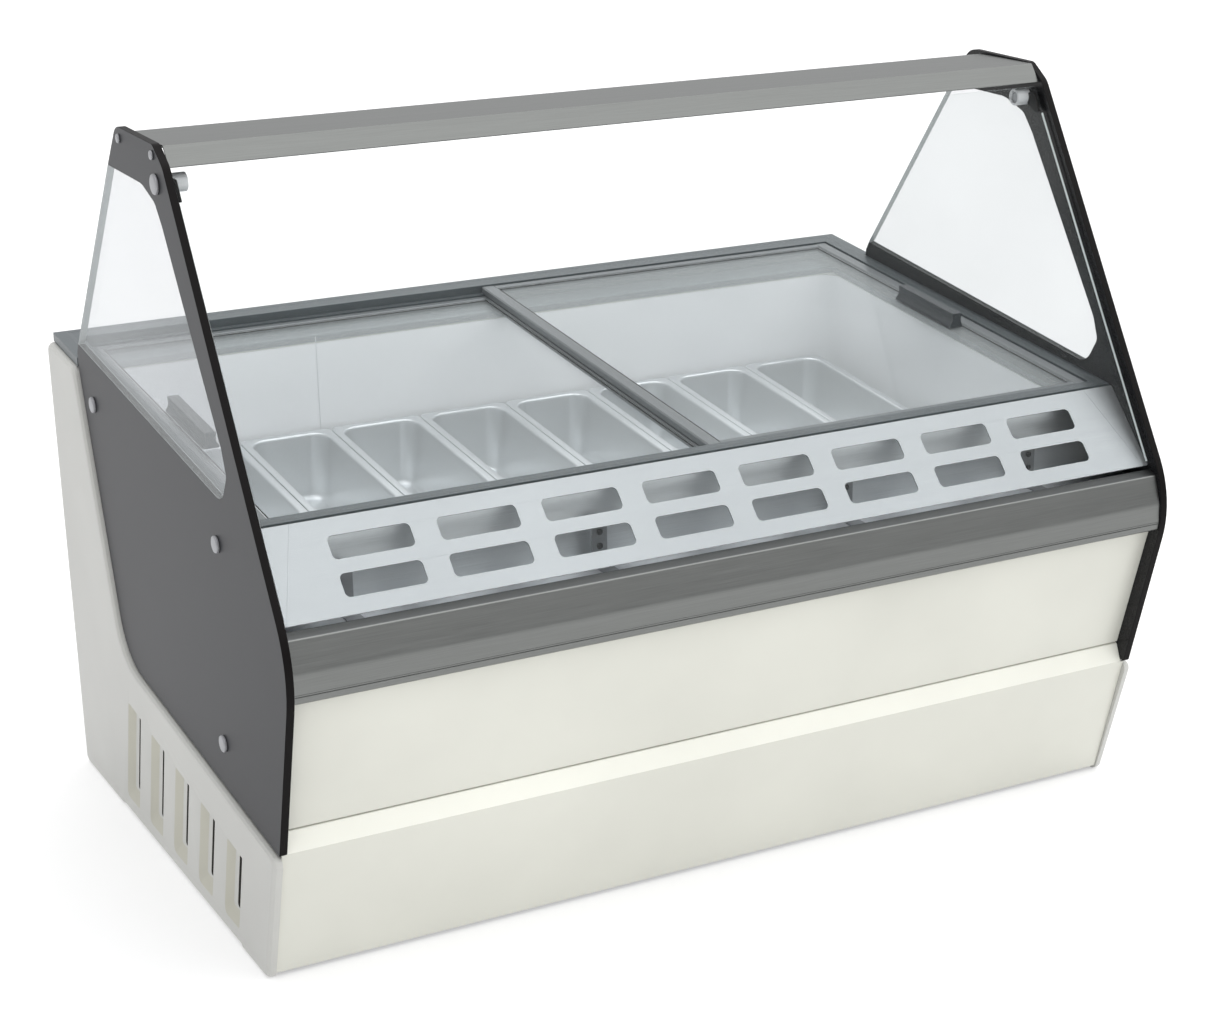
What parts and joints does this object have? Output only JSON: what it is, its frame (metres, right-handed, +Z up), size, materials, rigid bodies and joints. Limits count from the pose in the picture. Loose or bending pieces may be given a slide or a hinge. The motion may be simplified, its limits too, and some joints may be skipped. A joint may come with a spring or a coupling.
{
  "type": "ice cream dipping cabinet",
  "caption": "Glazed ice cream dipping cabinet: chilled tub with pans under sliding lids, slotted air panel, flip-up raked front glass and cream enamel body.",
  "frame": {"origin": "on the floor, under the centre of the cabinet's bounding box", "axes": "+X along the length, towards the right end as the customer sees it; +Y from the customer's side to the server's side; +Z up"},
  "size_m": [1.54, 1.0695, 1.198],
  "materials": {
    "cream_shell": "warm white satin enamel",
    "cream_moulding": "warm white fine-textured moulding",
    "pale_steel": "fine lengthwise brushed",
    "dark_steel": "darker lengthwise brushed",
    "pan_steel": "satin pressed",
    "galvanised": "dull zinc",
    "frame_grey": "satin extruded profile",
    "liner_white": "smooth food-grade sheet",
    "foam_body": "skinned insulation",
    "clear_glass": "clear toughened",
    "printed_glass": "clear toughened with a dark printed surround",
    "bright_fixing": "satin nickel",
    "black_plastic": "fine-textured",
    "handle_grey": "satin",
    "black_enamel": "satin",
    "foot_rubber": "matt"
  },
  "bodies": {
    "cabinet": {"air_duct": "pale_steel", "air_panel": "pale_steel", "base_frame": "galvanised", "bumper_rail": "dark_steel", "compressor": "black_enamel", "condenser": "galvanised", "controller": "black_plastic", "deck_frame": "frame_grey", "end_glass_left": "printed_glass", "end_glass_right": "printed_glass", "end_panel_left": "cream_moulding", "end_panel_right": "cream_moulding", "fan_shroud": "black_plastic", "foot_front_left": "foot_rubber", "foot_front_right": "foot_rubber", "foot_rear_left": "foot_rubber", "foot_rear_right": "foot_rubber", "front_panel": "cream_shell", "glass_button_front_high_left": "bright_fixing", "glass_button_front_high_right": "bright_fixing", "glass_button_front_low_left": "bright_fixing", "glass_button_front_low_right": "bright_fixing", "glass_button_rear_left": "bright_fixing", "glass_button_rear_right": "bright_fixing", "insulated_tub": "foam_body", "kick_panel": "cream_shell", "pan_front_1": "pan_steel", "pan_front_2": "pan_steel", "pan_front_3": "pan_steel", "pan_front_4": "pan_steel", "pan_front_5": "pan_steel", "pan_front_6": "pan_steel", "pan_front_7": "pan_steel", "pan_front_8": "pan_steel", "pan_rack": "pale_steel", "pan_rear_1": "pan_steel", "pan_rear_2": "pan_steel", "pan_rear_3": "pan_steel", "pan_rear_4": "pan_steel", "pan_rear_5": "pan_steel", "pan_rear_6": "pan_steel", "pan_rear_7": "pan_steel", "pan_rear_8": "pan_steel", "pivot_pin_left": "bright_fixing", "pivot_pin_right": "bright_fixing", "rear_cover": "cream_shell", "rear_grille": "dark_steel", "top_bar": "dark_steel", "tub_liner": "liner_white"},
    "left_lid": {"lid_frame_left": "frame_grey", "lid_glass_left": "clear_glass", "lid_handle_left": "handle_grey"},
    "right_lid": {"lid_frame_right": "frame_grey", "lid_glass_right": "clear_glass", "lid_handle_right": "handle_grey"},
    "front_glass_assembly": {"front_glass": "clear_glass", "hinge_arm_left": "bright_fixing", "hinge_arm_right": "bright_fixing"},
    "condenser_fan": {"fan_blade": "black_plastic"},
    "switch_rocker": {"main_switch": "black_plastic"}
  },
  "joints": [
    {"name": "left_lid_slide", "type": "slide", "parent": "cabinet", "child": "left_lid", "axis": [1, 0, 0], "range_m": [0, 0.66]},
    {"name": "right_lid_slide", "type": "slide", "parent": "cabinet", "child": "right_lid", "axis": [1, 0, 0], "range_m": [-0.66, 0]},
    {"name": "front_glass_hinge", "type": "hinge", "parent": "cabinet", "child": "front_glass_assembly", "pos_m": [0, -0.12425, 1.141], "axis": [-1, 0, 0], "range_deg": [0, 42]},
    {"name": "condenser_fan_spin", "type": "hinge", "parent": "cabinet", "child": "condenser_fan", "pos_m": [-0.5766, 0.05775, 0.1754], "axis": [1, 0, 0], "continuous": true},
    {"name": "main_switch_rock", "type": "hinge", "parent": "cabinet", "child": "switch_rocker", "pos_m": [0.63, 0.52375, 0.64], "axis": [1, 0, 0], "range_deg": [-16, 0]}
  ]
}
